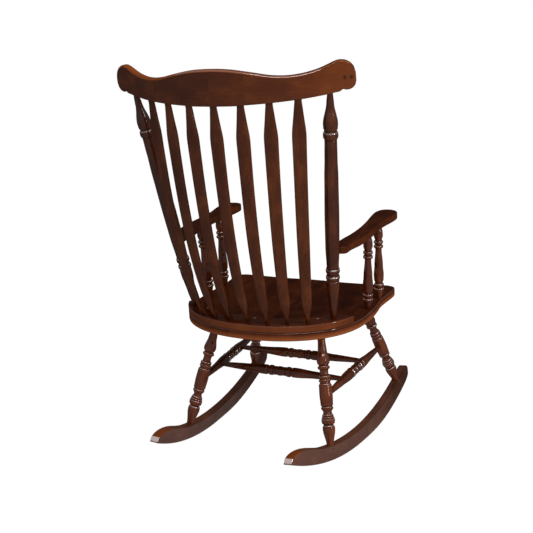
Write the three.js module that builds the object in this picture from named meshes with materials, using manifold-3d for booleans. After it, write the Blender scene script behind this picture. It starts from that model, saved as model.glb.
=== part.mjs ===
import * as THREE from 'three';
import { mergeVertices } from 'three/addons/utils/BufferGeometryUtils.js';
import Module from 'manifold-3d';

// Boston rocking chair: a shaped plank seat with a raised rear cleat, a bent crest rail with
// upswept ears, seven arrow slats, turned posts and legs, flat arms and two curved rockers.
// Millimetres, +Z up, the sitter faces -Y, and their left hand is on +X.

// Seat plank, measured in its own tilted plane
const seatHeight = 404;
const seatTiltShare = 0.133;
const seatThickness = 25;
const seatHalfWidth = 283;
const seatRearReach = 241;
const seatRearCentre = -28;
const seatFront = -308;
const seatEdgeRound = 4;
const rimPower = 2.2;
const dishDepth = 5;
const dishSideMargin = 68;
const dishHalfLength = 175;
const dishCentre = -95;

// Raised cleat along the rear of the seat
const cleatThickness = 20;
const cleatSideWidth = 61;
const cleatRearWidth = 73;
const cleatFront = 58;
const cleatEdgeRound = 2;

// Crest rail
const crestHeight = 1005;
const crestSetback = 393;
const crestDepth = 92;
const crestHalfLength = 350;
const crestThickness = 20;
const crestBend = 122;
const crestRakeShare = 0.25;
const crestEdgeRound = 5;

// Back posts
const postSideInset = 60;
const postRimInset = 35;
const crestEarReach = 62.5;
const postRadius = 19.3;
const postTopTenon = 26;
const postFootTenon = 36;

// Arrow slats
const slatCount = 7;
const slatTopMargin = 71.5;
const slatFootMargin = 55.5;
const slatCrowdShare = 0.05;
const slatInset = 23;
const slatHalfWidth = 16.4;
const slatHalfThickness = 5.5;
const slatEndHalf = 6.3;
const slatBow = 28;
const slatLeanShare = 0.7;
const slatCollar = 7;
const slatChamferShare = 0.6;
const slatBowShare = 0.75;
const slatTopTenon = 24;
const slatFootTenon = 14;

// Arms
const armHeight = 653;
const armTiltShare = 0.16;
const armThickness = 21;
const armRear = 158;
const armLength = 412;
const armSideInset = 15;
const armHalfWidth = 35;
const armEdgeRound = 4;

// Arm posts
const armPostSideInset = 17;
const armPostFrontInset = 136;
const armPostFootSpacing = 102;
const armPostFrontOut = 1.5;
const armPostFrontTopY = -138;
const armPostRearOut = 9;
const armPostRearTopY = -25;
const armPostRadius = 15.4;
const armPostTopTenon = 12;
const armPostFootTenon = 17;

// Legs
const legRadius = 19.6;
const legTurnedLength = 293;
const legRearSideInset = 115;
const legRearInset = 147;
const legFrontSideInset = 108;
const legFrontInset = 67;
const legTopTenon = 17;
const legFootTenon = 16;
const legFootTenonRadius = 7;
const legFootTrim = 12;

// Rockers, upright, toed in toward the rear and bowed a little outward along their length
const rockerRadius = 1033;
const rockerThickness = 26;
const rockerDepth = 42.5;
const rockerEase = 3;
const rockerBow = 14;
const rockerRearReach = 363;
const rockerFrontReach = 470;
const rockerSideInset = 42.5;
const rockerStandY = 9;
const rockerToeShare = 0.074;
const rockerLegRear = 124;
const rockerLegFront = -386;
const rockerRearTaper = 70;
const rockerRearDrop = 30;
const rockerFrontTaper = 28;
const rockerFrontDrop = 18;
const rockerFacets = 27;

// Stretchers
const stretcherRise = 140.5;
const stretcherRadius = 16;
const stretcherTenon = 13;
const crossRearShare = 0.31;
const crossFrontShare = 0.665;

// Plugs over the screws
const plugRadius = 4.8;
const plugLength = 7;
const plugCrown = 0.8;
const plugShoulderShare = 0.75;
const postPlugInwardShare = 0.25;
const cleatPlugMargin = 45;
const cleatPlugInset = 62;

// Fits and facets
const clearance = 0.3;
const cutOverrun = 40;
const postSides = 11;
const legSides = 10;
const smallPostSides = 9;
const plugSides = 8;
const armOutlineSteps = 30;
const rimSteps = 12;
const dishSides = 18;
const dishRows = 10;
const roundingShares = [0, 0.25, 0.5, 0.75, 1];

const wasm = await Module();
wasm.setup();

const stain = { plank: 0x4a2015, bent: 0x6b3219, turned: 0x58271a, rocker: 0x54291d, plug: 0x3a1a12 };

// Turned profiles: share of the length from the foot, share of the greatest radius
const legShares = [
  [0, 0.55], [0.055, 0.58], [0.106, 0.69], [0.157, 0.86], [0.188, 0.93], [0.2, 0.84],
  [0.212, 0.9], [0.239, 1], [0.27, 0.9], [0.3, 0.68], [0.322, 0.58], [0.342, 0.72],
  [0.36, 0.93], [0.376, 0.88], [0.386, 0.96], [0.59, 0.95], [0.6, 0.84], [0.628, 0.88],
  [0.64, 0.73], [0.7, 0.73], [0.72, 0.84], [0.757, 0.88], [0.78, 0.76], [0.8, 0.92],
  [0.82, 0.95], [0.86, 0.88], [0.93, 0.72], [1, 0.58],
];
const postShares = [
  [0, 0.37], [0.06, 0.49], [0.13, 0.7], [0.185, 0.84], [0.195, 0.97], [0.216, 0.98],
  [0.226, 0.8], [0.236, 0.98], [0.256, 0.98], [0.264, 0.84], [0.3, 0.88], [0.42, 0.98],
  [0.55, 1], [0.68, 0.92], [0.78, 0.8], [0.823, 0.76], [0.83, 0.97], [0.851, 0.98],
  [0.858, 0.8], [0.868, 0.92], [0.885, 0.95], [0.91, 0.84], [0.95, 0.56], [1, 0.34],
];
const armPostShares = [
  [0, 0.4], [0.07, 0.6], [0.125, 0.82], [0.14, 0.97], [0.165, 0.97], [0.178, 0.84],
  [0.192, 0.97], [0.217, 0.97], [0.235, 0.82], [0.29, 0.94], [0.34, 1], [0.42, 0.94],
  [0.55, 0.76], [0.7, 0.66], [0.722, 0.88], [0.75, 0.9], [0.768, 0.74], [0.79, 0.9],
  [0.82, 0.9], [0.84, 0.74], [0.89, 0.88], [0.94, 0.78], [1, 0.6],
];
const stretcherShares = [
  [0, 0.45], [0.2, 0.71], [0.3, 0.88], [0.37, 0.96], [0.392, 0.92], [0.4, 0.79], [0.408, 0.83],
  [0.426, 1], [0.445, 0.83], [0.475, 0.83], [0.5, 0.93], [0.525, 0.83], [0.555, 0.83],
  [0.574, 1], [0.592, 0.83], [0.6, 0.79], [0.608, 0.92], [0.63, 0.96], [0.7, 0.88],
  [0.8, 0.71], [1, 0.45],
];

// Front half of the seat rim: share of the half width, share of the reach to the front
const seatSideShares = [
  [1.003, 0.2], [0.99, 0.34], [0.976, 0.47], [0.981, 0.62], [0.993, 0.8], [0.99, 0.9],
  [0.965, 0.965], [0.92, 0.993], [0.8, 1.0], [0.56, 0.99], [0.33, 0.985], [0.12, 0.997],
];

// Crest rail seen from the front: share of the half length, shares of the depth at centre
const crestShares = [
  [0, 0, 1], [0.085, 0.003, 0.995], [0.17, 0.01, 0.973], [0.26, 0.035, 0.928],
  [0.35, 0.062, 0.878], [0.43, 0.09, 0.83], [0.5, 0.122, 0.812], [0.57, 0.158, 0.82],
  [0.64, 0.2, 0.86], [0.7, 0.243, 0.918], [0.76, 0.292, 1.0], [0.82, 0.345, 1.11],
  [0.86, 0.385, 1.19], [0.89, 0.418, 1.232], [0.905, 0.465, 1.24], [0.93, 0.458, 1.235],
  [0.955, 0.475, 1.2], [0.978, 0.53, 1.13], [0.993, 0.61, 1.03], [1, 0.7, 0.92],
];

// How far the bent crest rail comes forward: share of the half length, share of the whole bend
const crestBendShares = [
  [0, 0], [0.11, 0.013], [0.22, 0.052], [0.33, 0.118], [0.43, 0.203], [0.53, 0.317], [0.62, 0.442],
  [0.7, 0.571], [0.77, 0.69], [0.83, 0.785], [0.89, 0.866], [0.95, 0.94], [1, 1],
];

// Arrow slat: share of the length, share of the flat half width
const slatShares = [
  [0, 0], [0.05, 0.34], [0.085, 0.66], [0.115, 0.8], [0.16, 0.84], [0.32, 0.86], [0.5, 0.89],
  [0.68, 0.93], [0.85, 1], [0.885, 0.96], [0.92, 0.72], [0.96, 0.36], [1, 0],
];

// Arm outline: shares of the half width to the inner (-) and outer (+) side, share of the length
const armShares = [
  [-0.9, 0], [-0.88, 0.06], [-0.87, 0.15], [-0.66, 0.3], [-0.6, 0.4], [-0.62, 0.52],
  [-0.74, 0.66], [-0.93, 0.8], [-1, 0.88], [-0.92, 0.945], [-0.64, 0.986], [-0.2, 1],
  [0.3, 0.996], [0.74, 0.97], [0.96, 0.925], [1, 0.87], [0.92, 0.8], [0.74, 0.7],
  [0.65, 0.58], [0.74, 0.46], [0.78, 0.34], [0.66, 0.2], [0.4, 0.1], [0.2, 0],
];

// Solid of a closed three.js geometry
function solid(geometry) {
  geometry.deleteAttribute('normal');
  geometry.deleteAttribute('uv');
  const merged = mergeVertices(geometry);
  return new wasm.Manifold(new wasm.Mesh({
    numProp: 3,
    vertProperties: new Float32Array(merged.attributes.position.array),
    triVerts: new Uint32Array(merged.index.array),
  }));
}

// Removes the cutters, each a geometry placed by a matrix, from a geometry placed by its own,
// and then joins on what is added in the piece's own frame
function cut(geometry, place, cutters, added = []) {
  const back = place.clone().invert();
  let body = solid(geometry);
  for (const cutter of cutters) {
    const tool = cutter.geometry.clone();
    tool.applyMatrix4(new THREE.Matrix4().multiplyMatrices(back, cutter.place));
    body = body.subtract(solid(tool));
  }
  for (const more of added) body = body.add(solid(more));
  const mesh = body.getMesh();
  const result = new THREE.BufferGeometry();
  result.setAttribute('position', new THREE.BufferAttribute(new Float32Array(mesh.vertProperties), 3));
  result.setIndex(new THREE.BufferAttribute(new Uint32Array(mesh.triVerts), 1));
  return result;
}

// Places a piece whose axis is +Z, its foot at one point and its head toward another
function placeBetween(foot, head) {
  const axis = head.clone().sub(foot).normalize();
  const turn = new THREE.Quaternion().setFromUnitVectors(new THREE.Vector3(0, 0, 1), axis);
  return new THREE.Matrix4().compose(foot, turn, new THREE.Vector3(1, 1, 1));
}

function piece(name, geometry, place, colour, roughness = 0.35) {
  const shown = geometry.index ? geometry.toNonIndexed() : geometry;
  shown.computeVertexNormals();
  const material = new THREE.MeshStandardMaterial({ color: colour, roughness, metalness: 0 });
  const mesh = new THREE.Mesh(shown, material);
  mesh.name = name;
  place.decompose(mesh.position, mesh.quaternion, mesh.scale);
  return mesh;
}

// Closed solid of revolution about +Z through points of radius and height
function revolve(points, sides) {
  const profile = points.map(([radius, height]) => new THREE.Vector2(radius, height));
  const geometry = new THREE.LatheGeometry(profile, sides);
  geometry.rotateX(Math.PI / 2);
  return geometry;
}

// Turned piece from its shares, with plain round tenons that run on past both ends
function turning(shares, radius, turnedLength, length, footTenon, headTenon, sides, grow = 0) {
  const points = shares.map(([along, out]) => [out * radius + grow, along * turnedLength]);
  const footRadius = points[0][0];
  const headRadius = points[points.length - 1][0];
  const outline = [[0, -footTenon], [footRadius, -footTenon], ...points];
  outline.push([headRadius, length + headTenon], [0, length + headTenon]);
  return revolve(outline, sides);
}

// Round bore that a tenon of that radius enters, open on the side that it comes from
function bore(radius, from, to, sides) {
  const wide = radius + clearance;
  return revolve([[0, from], [wide, from], [wide, to], [0, to]], sides);
}

// Solid skinned over rings of points, with flat ends
function loft(rings) {
  const count = rings[0].length;
  const positions = rings.flat().flatMap((point) => [point.x, point.y, point.z]);
  const index = [];
  for (let ring = 0; ring + 1 < rings.length; ring += 1) {
    for (let corner = 0; corner < count; corner += 1) {
      const next = (corner + 1) % count;
      const a = ring * count + corner;
      const b = ring * count + next;
      index.push(a, b, b + count, a, b + count, a + count);
    }
  }
  const last = (rings.length - 1) * count;
  for (let corner = 1; corner + 1 < count; corner += 1) {
    index.push(0, corner + 1, corner);
    index.push(last, last + corner, last + corner + 1);
  }
  const geometry = new THREE.BufferGeometry();
  geometry.setAttribute('position', new THREE.BufferAttribute(new Float32Array(positions), 3));
  geometry.setIndex(index);
  return geometry;
}

// Flat board with rounded edges, its top face at height zero of its own frame
function board(outline, thickness, round) {
  const geometry = new THREE.ExtrudeGeometry(new THREE.Shape(outline), {
    depth: thickness - 2 * round,
    bevelThickness: round,
    bevelSize: round,
    bevelOffset: -round,
    bevelSegments: 2,
    steps: 1,
  });
  geometry.translate(0, 0, round - thickness);
  return geometry;
}

// Seat frame: the plank's top face tilts back about the seat's own middle
const seatPlace = new THREE.Matrix4().compose(
  new THREE.Vector3(0, 0, seatHeight),
  new THREE.Quaternion().setFromAxisAngle(new THREE.Vector3(1, 0, 0), -Math.atan(seatTiltShare)),
  new THREE.Vector3(1, 1, 1),
);
const onSeat = (x, y, lift) => new THREE.Vector3(x, y, lift).applyMatrix4(seatPlace);

// Quarter of the rear rim, a squared ellipse, from its side to the middle of the back
function rimQuarter(halfWidth, reach) {
  const points = [];
  for (let step = 0; step < rimSteps; step += 1) {
    const angle = (step / rimSteps) * (Math.PI / 2);
    const x = halfWidth * Math.cos(angle) ** (2 / rimPower);
    const y = seatRearCentre + reach * Math.sin(angle) ** (2 / rimPower);
    points.push(new THREE.Vector2(x, y));
  }
  return [...points, new THREE.Vector2(0, seatRearCentre + reach)];
}

// The rim's distance from the middle at a place along the seat, and its place at a distance
function rimX(halfWidth, reach, y) {
  return halfWidth * (1 - ((y - seatRearCentre) / reach) ** rimPower) ** (1 / rimPower);
}

function rimY(x) {
  const share = 1 - Math.abs(x / seatHalfWidth) ** rimPower;
  return seatRearCentre + seatRearReach * share ** (1 / rimPower);
}

// What stands on the seat or under it keeps its own distance from the plank's sides and ends
const postSpread = seatHalfWidth - postSideInset;
const postSeatY = rimY(postSpread) - postRimInset;
const armCentre = seatHalfWidth - armSideInset;
const armPostFrontSeatY = seatFront + armPostFrontInset;
const legRearSeatY = seatRearCentre + seatRearReach - legRearInset;
const rockerStandX = seatHalfWidth - rockerSideInset;
const postCrestX = crestHalfLength - crestEarReach;
const cleatInner = [seatHalfWidth - cleatSideWidth, seatRearReach - cleatRearWidth];

function mirrored(half) {
  const far = half.filter((point) => point.x > clearance).reverse();
  return [...half, ...far.map((point) => new THREE.Vector2(-point.x, point.y))];
}

function seatPlank(cutters) {
  const front = [new THREE.Vector2(0, seatFront)];
  for (const [across, forward] of [...seatSideShares].reverse()) {
    const y = seatRearCentre + forward * (seatFront - seatRearCentre);
    front.push(new THREE.Vector2(across * seatHalfWidth, y));
  }
  const rear = rimQuarter(seatHalfWidth, seatRearReach);
  const plank = board(mirrored([...front, ...rear]), seatThickness, seatEdgeRound);
  const dish = new THREE.SphereGeometry(1, dishSides, dishRows);
  dish.scale(seatHalfWidth - dishSideMargin, dishHalfLength, dishDepth);
  const dishPlace = seatPlace.clone().multiply(new THREE.Matrix4().makeTranslation(0, dishCentre, 0));
  const geometry = cut(plank, seatPlace, [{ geometry: dish, place: dishPlace }, ...cutters]);
  return piece('seat_plank', geometry, seatPlace, stain.plank);
}

const cleatPlace = seatPlace.clone().multiply(
  new THREE.Matrix4().makeTranslation(0, 0, cleatThickness + clearance),
);

function seatCleat(cutters) {
  const behind = (point) => point.y > cleatFront + cleatEdgeRound + clearance;
  const outer = rimQuarter(seatHalfWidth, seatRearReach).filter(behind);
  const inner = rimQuarter(...cleatInner).filter(behind);
  const outerCorner = new THREE.Vector2(rimX(seatHalfWidth, seatRearReach, cleatFront), cleatFront);
  const innerCorner = new THREE.Vector2(rimX(...cleatInner, cleatFront), cleatFront);
  const band = mirrored([outerCorner, ...outer]);
  const front = mirrored([innerCorner, ...inner]).reverse();
  const geometry = board([...band, ...front], cleatThickness, cleatEdgeRound);
  return piece('seat_cleat', cut(geometry, cleatPlace, cutters), cleatPlace, stain.plank);
}

// Height of a table's column at a share, straight between its rows
function shareAt(shares, along, column) {
  let step = 1;
  while (step < shares.length - 1 && shares[step][0] < along) step += 1;
  const [before, after] = [shares[step - 1], shares[step]];
  return THREE.MathUtils.mapLinear(along, before[0], after[0], before[column], after[column]);
}

// Crest rail: how far the bent rail has come forward at x, and points of its middle surface
const crestBow = (x) => crestBend * shareAt(crestBendShares, Math.abs(x) / crestHalfLength, 1);
const crestShareAt = (x, column) => shareAt(crestShares, Math.abs(x) / crestHalfLength, column);

function onCrest(x, rise) {
  const y = crestSetback - crestBow(x) + crestRakeShare * rise;
  return new THREE.Vector3(x, y, crestHeight + rise);
}

const crestFoot = (x) => onCrest(x, crestShareAt(x, 1) * crestDepth);

function crestRail(cutters) {
  const half = crestShares.map(([along]) => along * crestHalfLength);
  const stations = [...half.slice(1).reverse().map((x) => -x), ...half];
  const rings = stations.map((x) => {
    const low = crestShareAt(x, 1) * crestDepth;
    const high = crestShareAt(x, 2) * crestDepth;
    const step = crestThickness / 2;
    const along = onCrest(x + step, low).sub(onCrest(x - step, low)).setZ(0).normalize();
    const out = new THREE.Vector3(-along.y, along.x, 0).multiplyScalar(crestThickness / 2);
    const round = Math.min(crestEdgeRound, (high - low) / 2 - clearance);
    const inset = 1 - round / (crestThickness / 2);
    const corner = (rise, depth) => onCrest(x, rise).addScaledVector(out, depth);
    return [
      corner(low, inset), corner(low + round, 1), corner(high - round, 1), corner(high, inset),
      corner(high, -inset), corner(high - round, -1), corner(low + round, -1), corner(low, -inset),
    ];
  });
  const place = new THREE.Matrix4();
  return piece('crest_rail', cut(loft(rings), place, cutters), place, stain.bent);
}

// Bodies that other bodies are cut for are kept here by the piece that they enter
const chair = new THREE.Group();
const cuts = { plank: [], cleat: [], crest: [], arms: {}, rockers: {}, legs: {}, sides: {}, posts: {} };
const sides = [['left', 1], ['right', -1]];
for (const [side] of sides) {
  cuts.arms[side] = [];
  cuts.rockers[side] = [];
  cuts.sides[side] = [];
  cuts.posts[side] = [];
  cuts.legs[`front_${side}`] = [];
  cuts.legs[`rear_${side}`] = [];
}

// Arms: both lie in one plane that drops toward the back posts
const armPlace = new THREE.Matrix4().compose(
  new THREE.Vector3(0, 0, armHeight),
  new THREE.Quaternion().setFromAxisAngle(new THREE.Vector3(1, 0, 0), -Math.atan(armTiltShare)),
  new THREE.Vector3(1, 1, 1),
);
const onArm = (x, y, lift) => new THREE.Vector3(x, y, lift).applyMatrix4(armPlace);

function arm(side, sign) {
  const outline = armShares.map(([across, forward]) => (
    new THREE.Vector2(sign * (armCentre + across * armHalfWidth), armRear - forward * armLength)
  ));
  const points = new THREE.SplineCurve(outline).getPoints(armOutlineSteps);
  if (sign < 0) points.reverse();
  const geometry = board(points, armThickness, armEdgeRound);
  const cutAway = cut(geometry, armPlace, cuts.arms[side]);
  return piece(`arm_${side}`, cutAway, armPlace, stain.bent);
}

// Rockers: the sole is an arc of flat facets whose lowest one lies on the floor
function rockerPlace(sign) {
  return new THREE.Matrix4().compose(
    new THREE.Vector3(sign * rockerStandX, rockerStandY, 0),
    new THREE.Quaternion().setFromAxisAngle(
      new THREE.Vector3(0, 0, 1),
      sign * Math.atan(rockerToeShare),
    ),
    new THREE.Vector3(1, 1, 1),
  );
}

const rockerStep = (rockerRearReach + rockerFrontReach) / rockerFacets / rockerRadius;
const soleLift = rockerRadius * Math.cos(rockerStep / 2);
const soleAt = (along) => soleLift - Math.sqrt(rockerRadius ** 2 - along ** 2);
const rockerBowAt = (along) => rockerBow * (along / rockerFrontReach) ** 2;
const onRocker = (sign, along) => (
  new THREE.Vector3(-sign * rockerBowAt(along), along, soleAt(along) + rockerDepth)
    .applyMatrix4(rockerPlace(sign))
);

// Places along the rocker: the corners of its sole's facets, then closer ones at both rounded ends
function rockerStations() {
  const flat = [];
  for (let step = -rockerFacets; step < rockerFacets; step += 1) {
    const along = rockerRadius * Math.sin((step + 0.5) * rockerStep);
    const behindFront = along > rockerFrontTaper - rockerFrontReach + rockerEase;
    if (behindFront && along < rockerRearReach - rockerRearTaper - rockerEase) flat.push(along);
  }
  const turns = roundingShares.map((share) => share * (Math.PI / 2));
  const rear = turns.map((turn) => rockerRearReach - rockerRearTaper * (1 - Math.sin(turn)));
  const front = turns.map((turn) => rockerFrontTaper * (1 - Math.sin(turn)) - rockerFrontReach);
  return [...front.reverse(), ...flat, ...rear];
}

// How far the top edge has come down at the quarter ellipses of both ends
function rockerDrop(along) {
  const rear = Math.max(0, 1 + (along - rockerRearReach) / rockerRearTaper);
  const front = Math.max(0, 1 - (along + rockerFrontReach) / rockerFrontTaper);
  const fall = (share) => 1 - Math.sqrt(Math.max(0, 1 - share ** 2));
  return rockerRearDrop * fall(rear) + rockerFrontDrop * fall(front);
}

function rocker(side, sign) {
  const half = rockerThickness / 2;
  const rings = rockerStations().map((along) => {
    const middle = -sign * rockerBowAt(along);
    const low = soleAt(along);
    const high = low + rockerDepth - rockerDrop(along);
    const corner = (across, rise) => new THREE.Vector3(middle + across, along, rise);
    return [
      corner(rockerEase - half, high), corner(half - rockerEase, high), corner(half, high - rockerEase),
      corner(half, low), corner(-half, low), corner(-half, high - rockerEase),
    ];
  });
  const geometry = cut(loft(rings), rockerPlace(sign), cuts.rockers[side]);
  return piece(`rocker_${side}`, geometry, rockerPlace(sign), stain.rocker);
}

// Everything below a rocker's top edge, which trims the feet of the legs that stand on it
function rockerTrim(sign) {
  const width = rockerThickness + cutOverrun;
  const rings = rockerStations().map((along) => {
    const high = soleAt(along) + rockerDepth + clearance;
    const corner = (across, rise) => new THREE.Vector3(across, along, rise);
    return [
      corner(-width, high), corner(width, high), corner(width, -cutOverrun), corner(-width, -cutOverrun),
    ];
  });
  return { geometry: loft(rings), place: rockerPlace(sign) };
}

// Legs: blind in the seat above and in the rocker below
const legAxes = {};
for (const [side, sign] of sides) {
  const ends = {
    front: [rockerLegFront, seatHalfWidth - legFrontSideInset, seatFront + legFrontInset],
    rear: [rockerLegRear, seatHalfWidth - legRearSideInset, legRearSeatY],
  };
  for (const [row, [along, x, y]] of Object.entries(ends)) {
    const foot = onRocker(sign, along);
    const head = onSeat(sign * x, y, -seatThickness);
    const place = placeBetween(foot, head);
    const length = foot.distanceTo(head);
    legAxes[`${row}_${side}`] = { place, length, sign };
    const headRadius = legShares[legShares.length - 1][1] * legRadius;
    const foothole = bore(legFootTenonRadius, -legFootTenon - clearance, cutOverrun, legSides);
    const headhole = bore(headRadius, length - cutOverrun, length + legTopTenon + clearance, legSides);
    cuts.rockers[side].push({ geometry: foothole, place });
    cuts.plank.push({ geometry: headhole, place });
  }
}

// Stretchers: one between the legs of each side, two more across between those
const stretcherEnd = stretcherShares[0][1] * stretcherRadius;
const legSurface = legShares[14][1] * legRadius;

function stretcher(name, from, to, gap) {
  const place = placeBetween(from, to);
  const whole = from.distanceTo(to);
  const length = whole - 2 * gap;
  const start = place.clone().multiply(new THREE.Matrix4().makeTranslation(0, 0, gap));
  const geometry = turning(
    stretcherShares, stretcherRadius, length, length, stretcherTenon, stretcherTenon, smallPostSides,
  );
  const low = bore(stretcherEnd, -stretcherTenon - clearance, cutOverrun, smallPostSides);
  const top = length + stretcherTenon + clearance;
  const high = bore(stretcherEnd, length - cutOverrun, top, smallPostSides);
  const near = { geometry: low, place: start };
  const far = { geometry: high, place: start };
  return { name, start, geometry, near, far };
}

const sideStretchers = {};
for (const [side] of sides) {
  const rear = legAxes[`rear_${side}`];
  const front = legAxes[`front_${side}`];
  const from = new THREE.Vector3(0, 0, stretcherRise).applyMatrix4(rear.place);
  const to = new THREE.Vector3(0, 0, stretcherRise).applyMatrix4(front.place);
  const made = stretcher(`side_stretcher_${side}`, from, to, legSurface);
  cuts.legs[`rear_${side}`].push(made.near);
  cuts.legs[`front_${side}`].push(made.far);
  sideStretchers[side] = { from, to, made };
}

const crossSurface = stretcherShares[2][1] * stretcherRadius;
for (const [row, share] of [['rear', crossRearShare], ['front', crossFrontShare]]) {
  const from = sideStretchers.left.from.clone().lerp(sideStretchers.left.to, share);
  const to = sideStretchers.right.from.clone().lerp(sideStretchers.right.to, share);
  const made = stretcher(`cross_stretcher_${row}`, from, to, crossSurface);
  cuts.sides.left.push(made.near);
  cuts.sides.right.push(made.far);
  chair.add(piece(made.name, made.geometry, made.start, stain.turned));
}
for (const [side] of sides) {
  const { made } = sideStretchers[side];
  const body = cut(made.geometry, made.start, cuts.sides[side]);
  chair.add(piece(made.name, body, made.start, stain.turned));
}

// Each foot is trimmed to its rocker's curve and keeps a slim tenon of its own
for (const [key, { place, length, sign }] of Object.entries(legAxes)) {
  const geometry = turning(
    legShares, legRadius, legTurnedLength, length, legFootTrim, legTopTenon, legSides,
  );
  const tenon = revolve([
    [0, -legFootTenon], [legFootTenonRadius, -legFootTenon],
    [legFootTenonRadius, legFootTenon], [0, legFootTenon],
  ], legSides);
  const body = cut(geometry, place, [rockerTrim(sign), ...cuts.legs[key]], [tenon]);
  chair.add(piece(`leg_${key}`, body, place, stain.turned));
}

// Back posts: through the cleat into the plank below, and up into the crest rail
const postAxes = {};
for (const [side, sign] of sides) {
  const foot = onSeat(sign * postSpread, postSeatY, cleatThickness + clearance);
  const head = crestFoot(sign * postCrestX);
  const place = placeBetween(foot, head);
  const length = foot.distanceTo(head);
  postAxes[side] = { place, length, foot, head };
  const footRadius = postShares[0][1] * postRadius;
  const headRadius = postShares[postShares.length - 1][1] * postRadius;
  const foothole = bore(footRadius, -postFootTenon - clearance, cutOverrun, postSides);
  const top = length + postTopTenon + clearance;
  cuts.cleat.push({ geometry: foothole, place });
  cuts.plank.push({ geometry: foothole, place });
  cuts.crest.push({ geometry: bore(headRadius, length - cutOverrun, top, postSides), place });
  const room = turning(postShares, postRadius, length, length, 0, 0, postSides, clearance);
  cuts.arms[side].push({ geometry: room, place });
}

// Arm posts: blind in the seat and in the underside of the arm
const armPostEnds = {
  front: [armPostFrontSeatY, armCentre + armPostFrontOut, armPostFrontTopY],
  rear: [armPostFrontSeatY + armPostFootSpacing, armCentre + armPostRearOut, armPostRearTopY],
};
for (const [side, sign] of sides) {
  for (const [row, [seatY, topX, topY]] of Object.entries(armPostEnds)) {
    const foot = onSeat(sign * (seatHalfWidth - armPostSideInset), seatY, 0);
    const head = onArm(sign * topX, topY, -armThickness);
    const place = placeBetween(foot, head);
    const length = foot.distanceTo(head);
    const footRadius = armPostShares[0][1] * armPostRadius;
    const headRadius = armPostShares[armPostShares.length - 1][1] * armPostRadius;
    const low = bore(footRadius, -armPostFootTenon - clearance, cutOverrun, smallPostSides);
    const top = length + armPostTopTenon + clearance;
    cuts.plank.push({ geometry: low, place });
    const high = bore(headRadius, length - cutOverrun, top, smallPostSides);
    cuts.arms[side].push({ geometry: high, place });
    const geometry = turning(
      armPostShares, armPostRadius, length, length, armPostFootTenon, armPostTopTenon, smallPostSides,
    );
    chair.add(piece(`arm_post_${row}_${side}`, geometry, place, stain.turned));
  }
}

// Arrow slats: flat in the middle, bowed to the back, near round where they enter the rails
function slatRing(centre, side, out, halfWidth, halfThickness) {
  const chamfer = Math.min(halfWidth, halfThickness) * slatChamferShare;
  const corner = (across, deep) => centre.clone().addScaledVector(side, across).addScaledVector(out, deep);
  const wide = halfWidth - chamfer;
  const deep = halfThickness - chamfer;
  return [
    corner(halfWidth, -deep), corner(halfWidth, deep), corner(wide, halfThickness),
    corner(-wide, halfThickness), corner(-halfWidth, deep), corner(-halfWidth, -deep),
    corner(-wide, -halfThickness), corner(wide, -halfThickness),
  ];
}

// The slats stand a little closer together toward both sides
const slatSpacing = (share) => share * (1 + slatCrowdShare * (1 - share ** 2));

for (let number = 1; number <= slatCount; number += 1) {
  const share = slatSpacing(2 * (number - 1) / (slatCount - 1) - 1);
  const footX = share * (postSpread - slatFootMargin);
  const foot = onSeat(footX, rimY(footX) - slatInset, cleatThickness + clearance);
  const topX = share * (postCrestX - slatTopMargin);
  const head = crestFoot(topX);
  const place = placeBetween(foot, head);
  const length = foot.distanceTo(head);
  const lean = slatLeanShare * Math.atan2(2 * crestBow(topX), Math.abs(topX)) * Math.sign(topX);
  const facing = new THREE.Vector3(Math.sin(lean), Math.cos(lean), 0);
  const turnBack = new THREE.Matrix4().extractRotation(place).invert();
  const out = facing.applyMatrix4(turnBack).setZ(0).normalize();
  const side = new THREE.Vector3(out.y, -out.x, 0);
  const ring = (along, grow) => slatRing(
    new THREE.Vector3(0, 0, along), side, out, slatEndHalf + grow, slatEndHalf + grow,
  );
  const rings = slatShares.map(([along, flat]) => {
    const level = THREE.MathUtils.lerp(slatCollar, length - slatCollar, along);
    const bow = slatBow * Math.sin(Math.PI * along ** slatBowShare);
    const centre = new THREE.Vector3(0, 0, level).addScaledVector(out, bow);
    const halfWidth = slatEndHalf + flat * (slatHalfWidth - slatEndHalf);
    const thinning = Math.min(1, flat * 2) * (slatHalfThickness - slatEndHalf);
    return slatRing(centre, side, out, halfWidth, slatEndHalf + thinning);
  });
  const low = -slatFootTenon;
  const high = length + slatTopTenon;
  const geometry = loft([ring(low, 0), ...rings, ring(high, 0)]);
  const foothole = loft([ring(low - clearance, clearance), ring(cutOverrun, clearance)]);
  const headhole = loft([ring(length - cutOverrun, clearance), ring(high + clearance, clearance)]);
  cuts.cleat.push({ geometry: foothole, place });
  cuts.crest.push({ geometry: headhole, place });
  chair.add(piece(`back_slat_${number}`, geometry, place, stain.bent));
}

// Wooden plugs: over the screw from each post into its arm, and over the cleat's screws
function plug(name, place, holders) {
  const points = [
    [0, -plugLength], [plugRadius, -plugLength], [plugRadius, 0],
    [plugRadius / 2, plugCrown * plugShoulderShare], [0, plugCrown],
  ];
  const hole = bore(plugRadius, -plugLength - clearance, cutOverrun, plugSides);
  holders.push({ geometry: hole, place });
  return piece(name, revolve(points, plugSides), place, stain.plug);
}

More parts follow.
